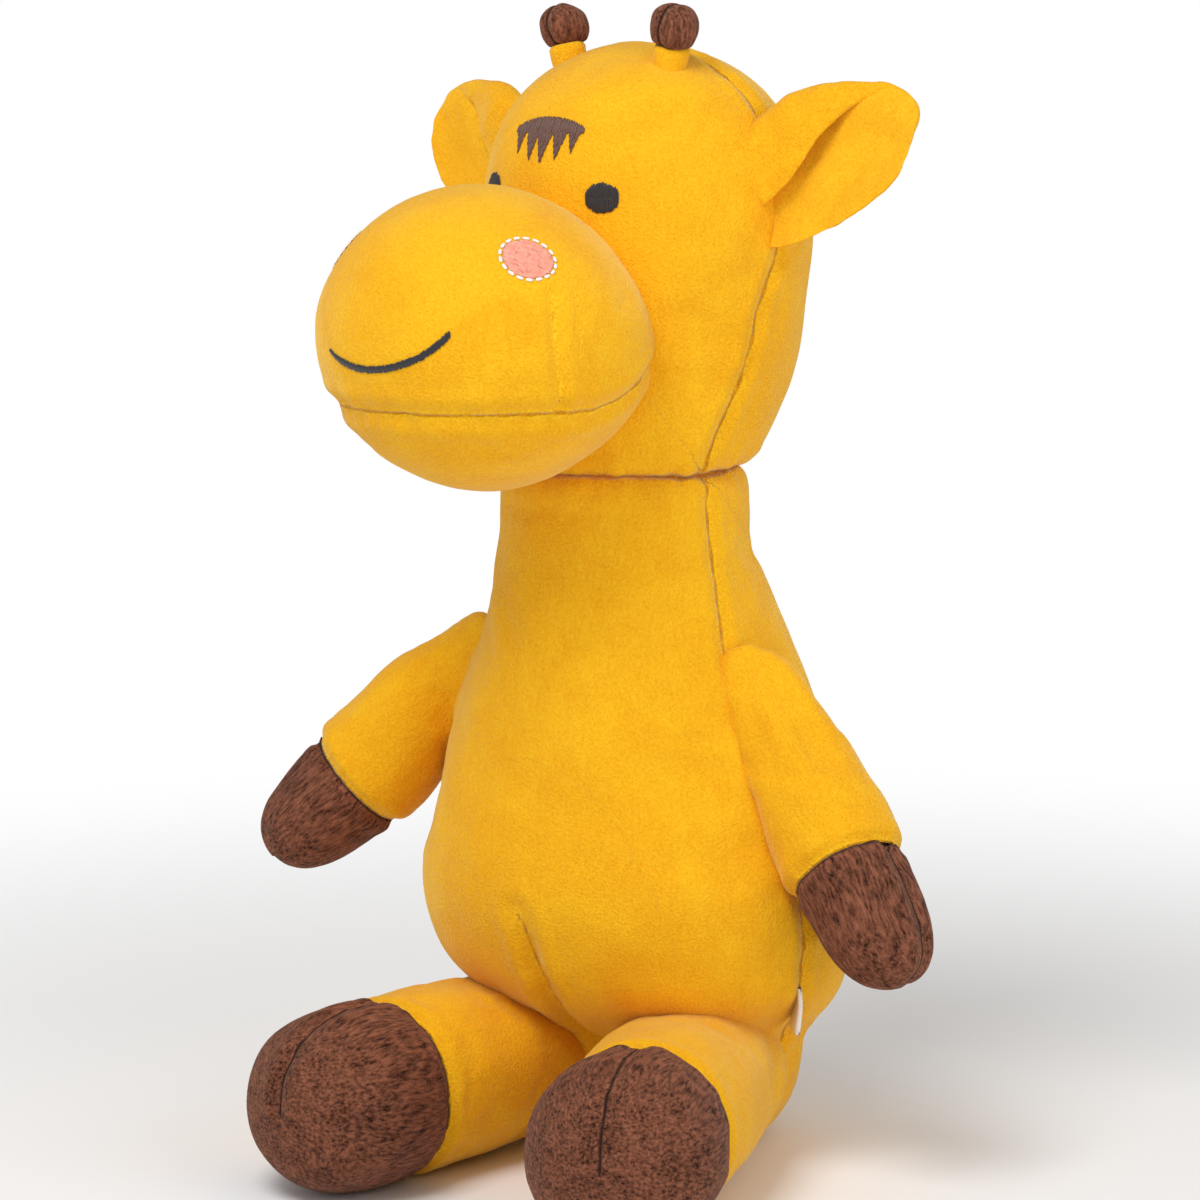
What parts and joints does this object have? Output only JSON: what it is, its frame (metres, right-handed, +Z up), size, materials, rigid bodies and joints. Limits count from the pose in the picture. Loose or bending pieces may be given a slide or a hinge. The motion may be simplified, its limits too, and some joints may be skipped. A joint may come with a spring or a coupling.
{
  "type": "plush giraffe",
  "caption": "Sitting stuffed toy giraffe in golden and brown plush, with sewn-on head, ears, arms, legs and tail that bend where they are sewn.",
  "frame": {"origin": "on the floor, in the middle of the flattened seat under the torso", "axes": "+Z up, -Y the way the toy faces, +X towards the toy's own left side"},
  "size_m": [0.2298, 0.2157, 0.346],
  "materials": {
    "yellow_plush": "short-pile golden plush",
    "brown_plush": "short-pile brown plush",
    "ear_lining_cloth": "smooth golden plush",
    "black_thread": "satin stitch",
    "brown_thread": "satin stitch",
    "salmon_thread": "satin stitch",
    "white_thread": "running stitch",
    "white_ribbon": "blank woven ribbon",
    "fibre_filling": "loose polyester fibre",
    "pellet_filling": "cloth bag of pellets"
  },
  "bodies": {
    "torso": {"torso_front": "yellow_plush", "torso_back": "yellow_plush", "torso_stuffing": "fibre_filling", "bean_bag": "pellet_filling", "mane_neck": "brown_plush", "back_spot_1": "brown_plush", "back_spot_2": "brown_plush", "back_spot_3": "brown_plush", "side_label": "white_ribbon"},
    "head": {"head_face": "yellow_plush", "head_back": "yellow_plush", "head_stuffing": "fibre_filling", "muzzle_top": "yellow_plush", "muzzle_chin": "yellow_plush", "muzzle_stuffing": "fibre_filling", "horn_left_stalk": "yellow_plush", "horn_left_tip": "brown_plush", "horn_right_stalk": "yellow_plush", "horn_right_tip": "brown_plush", "mane_head": "brown_plush", "forelock": "brown_thread", "smile": "black_thread", "eye_left": "black_thread", "eye_right": "black_thread", "cheek_left": "salmon_thread", "cheek_right": "salmon_thread", "cheek_left_stitches": "white_thread", "cheek_right_stitches": "white_thread", "head_spot_left": "brown_plush", "head_spot_right": "brown_plush"},
    "ear_left": {"ear_left_outer": "yellow_plush", "ear_left_lining": "ear_lining_cloth"},
    "ear_right": {"ear_right_outer": "yellow_plush", "ear_right_lining": "ear_lining_cloth"},
    "arm_left": {"arm_left_sleeve": "yellow_plush", "arm_left_hoof": "brown_plush", "arm_left_stuffing": "fibre_filling"},
    "arm_right": {"arm_right_sleeve": "yellow_plush", "arm_right_hoof": "brown_plush", "arm_right_stuffing": "fibre_filling"},
    "leg_left": {"leg_left_sleeve": "yellow_plush", "leg_left_hoof": "brown_plush", "leg_left_stuffing": "fibre_filling"},
    "leg_right": {"leg_right_sleeve": "yellow_plush", "leg_right_hoof": "brown_plush", "leg_right_stuffing": "fibre_filling"},
    "tail": {"tail": "yellow_plush", "tail_tuft": "brown_plush"}
  },
  "joints": [
    {"name": "head_nod", "type": "hinge", "parent": "torso", "child": "head", "pos_m": [0, -0.02, 0.189], "axis": [0.9978, -0.061, 0.0262], "range_deg": [-12, 12], "stiffness_Nm_per_rad": 0.6, "springref_deg": -2.86},
    {"name": "arm_left_raise", "type": "hinge", "parent": "torso", "child": "arm_left", "pos_m": [0.0518, -0.018, 0.146], "axis": [0, -1, 0], "range_deg": [0, 70], "stiffness_Nm_per_rad": 0.06},
    {"name": "arm_right_raise", "type": "hinge", "parent": "torso", "child": "arm_right", "pos_m": [-0.0518, -0.018, 0.146], "axis": [-0.4695, 0.8829, 0], "range_deg": [0, 60], "stiffness_Nm_per_rad": 0.06},
    {"name": "leg_left_splay", "type": "hinge", "parent": "torso", "child": "leg_left", "pos_m": [0.03, -0.018, 0.0268], "axis": [0, 0, 1], "range_deg": [-20, 20], "stiffness_Nm_per_rad": 0.08},
    {"name": "leg_right_splay", "type": "hinge", "parent": "torso", "child": "leg_right", "pos_m": [-0.03, -0.018, 0.0268], "axis": [0, 0, -1], "range_deg": [0, 40], "stiffness_Nm_per_rad": 0.08},
    {"name": "ear_left_fold", "type": "hinge", "parent": "head", "child": "ear_left", "pos_m": [0.04591, -0.00778, 0.28221], "axis": [0.6824, -0.0417, -0.7298], "range_deg": [-15, 15], "stiffness_Nm_per_rad": 0.02},
    {"name": "ear_right_fold", "type": "hinge", "parent": "head", "child": "ear_right", "pos_m": [-0.04888, -0.00198, 0.27973], "axis": [0.6434, -0.0394, 0.7645], "range_deg": [-15, 15], "stiffness_Nm_per_rad": 0.02},
    {"name": "tail_swing", "type": "hinge", "parent": "torso", "child": "tail", "pos_m": [0, 0.0385, 0.03], "axis": [0, 0, -1], "range_deg": [0, 90], "stiffness_Nm_per_rad": 0.008}
  ]
}
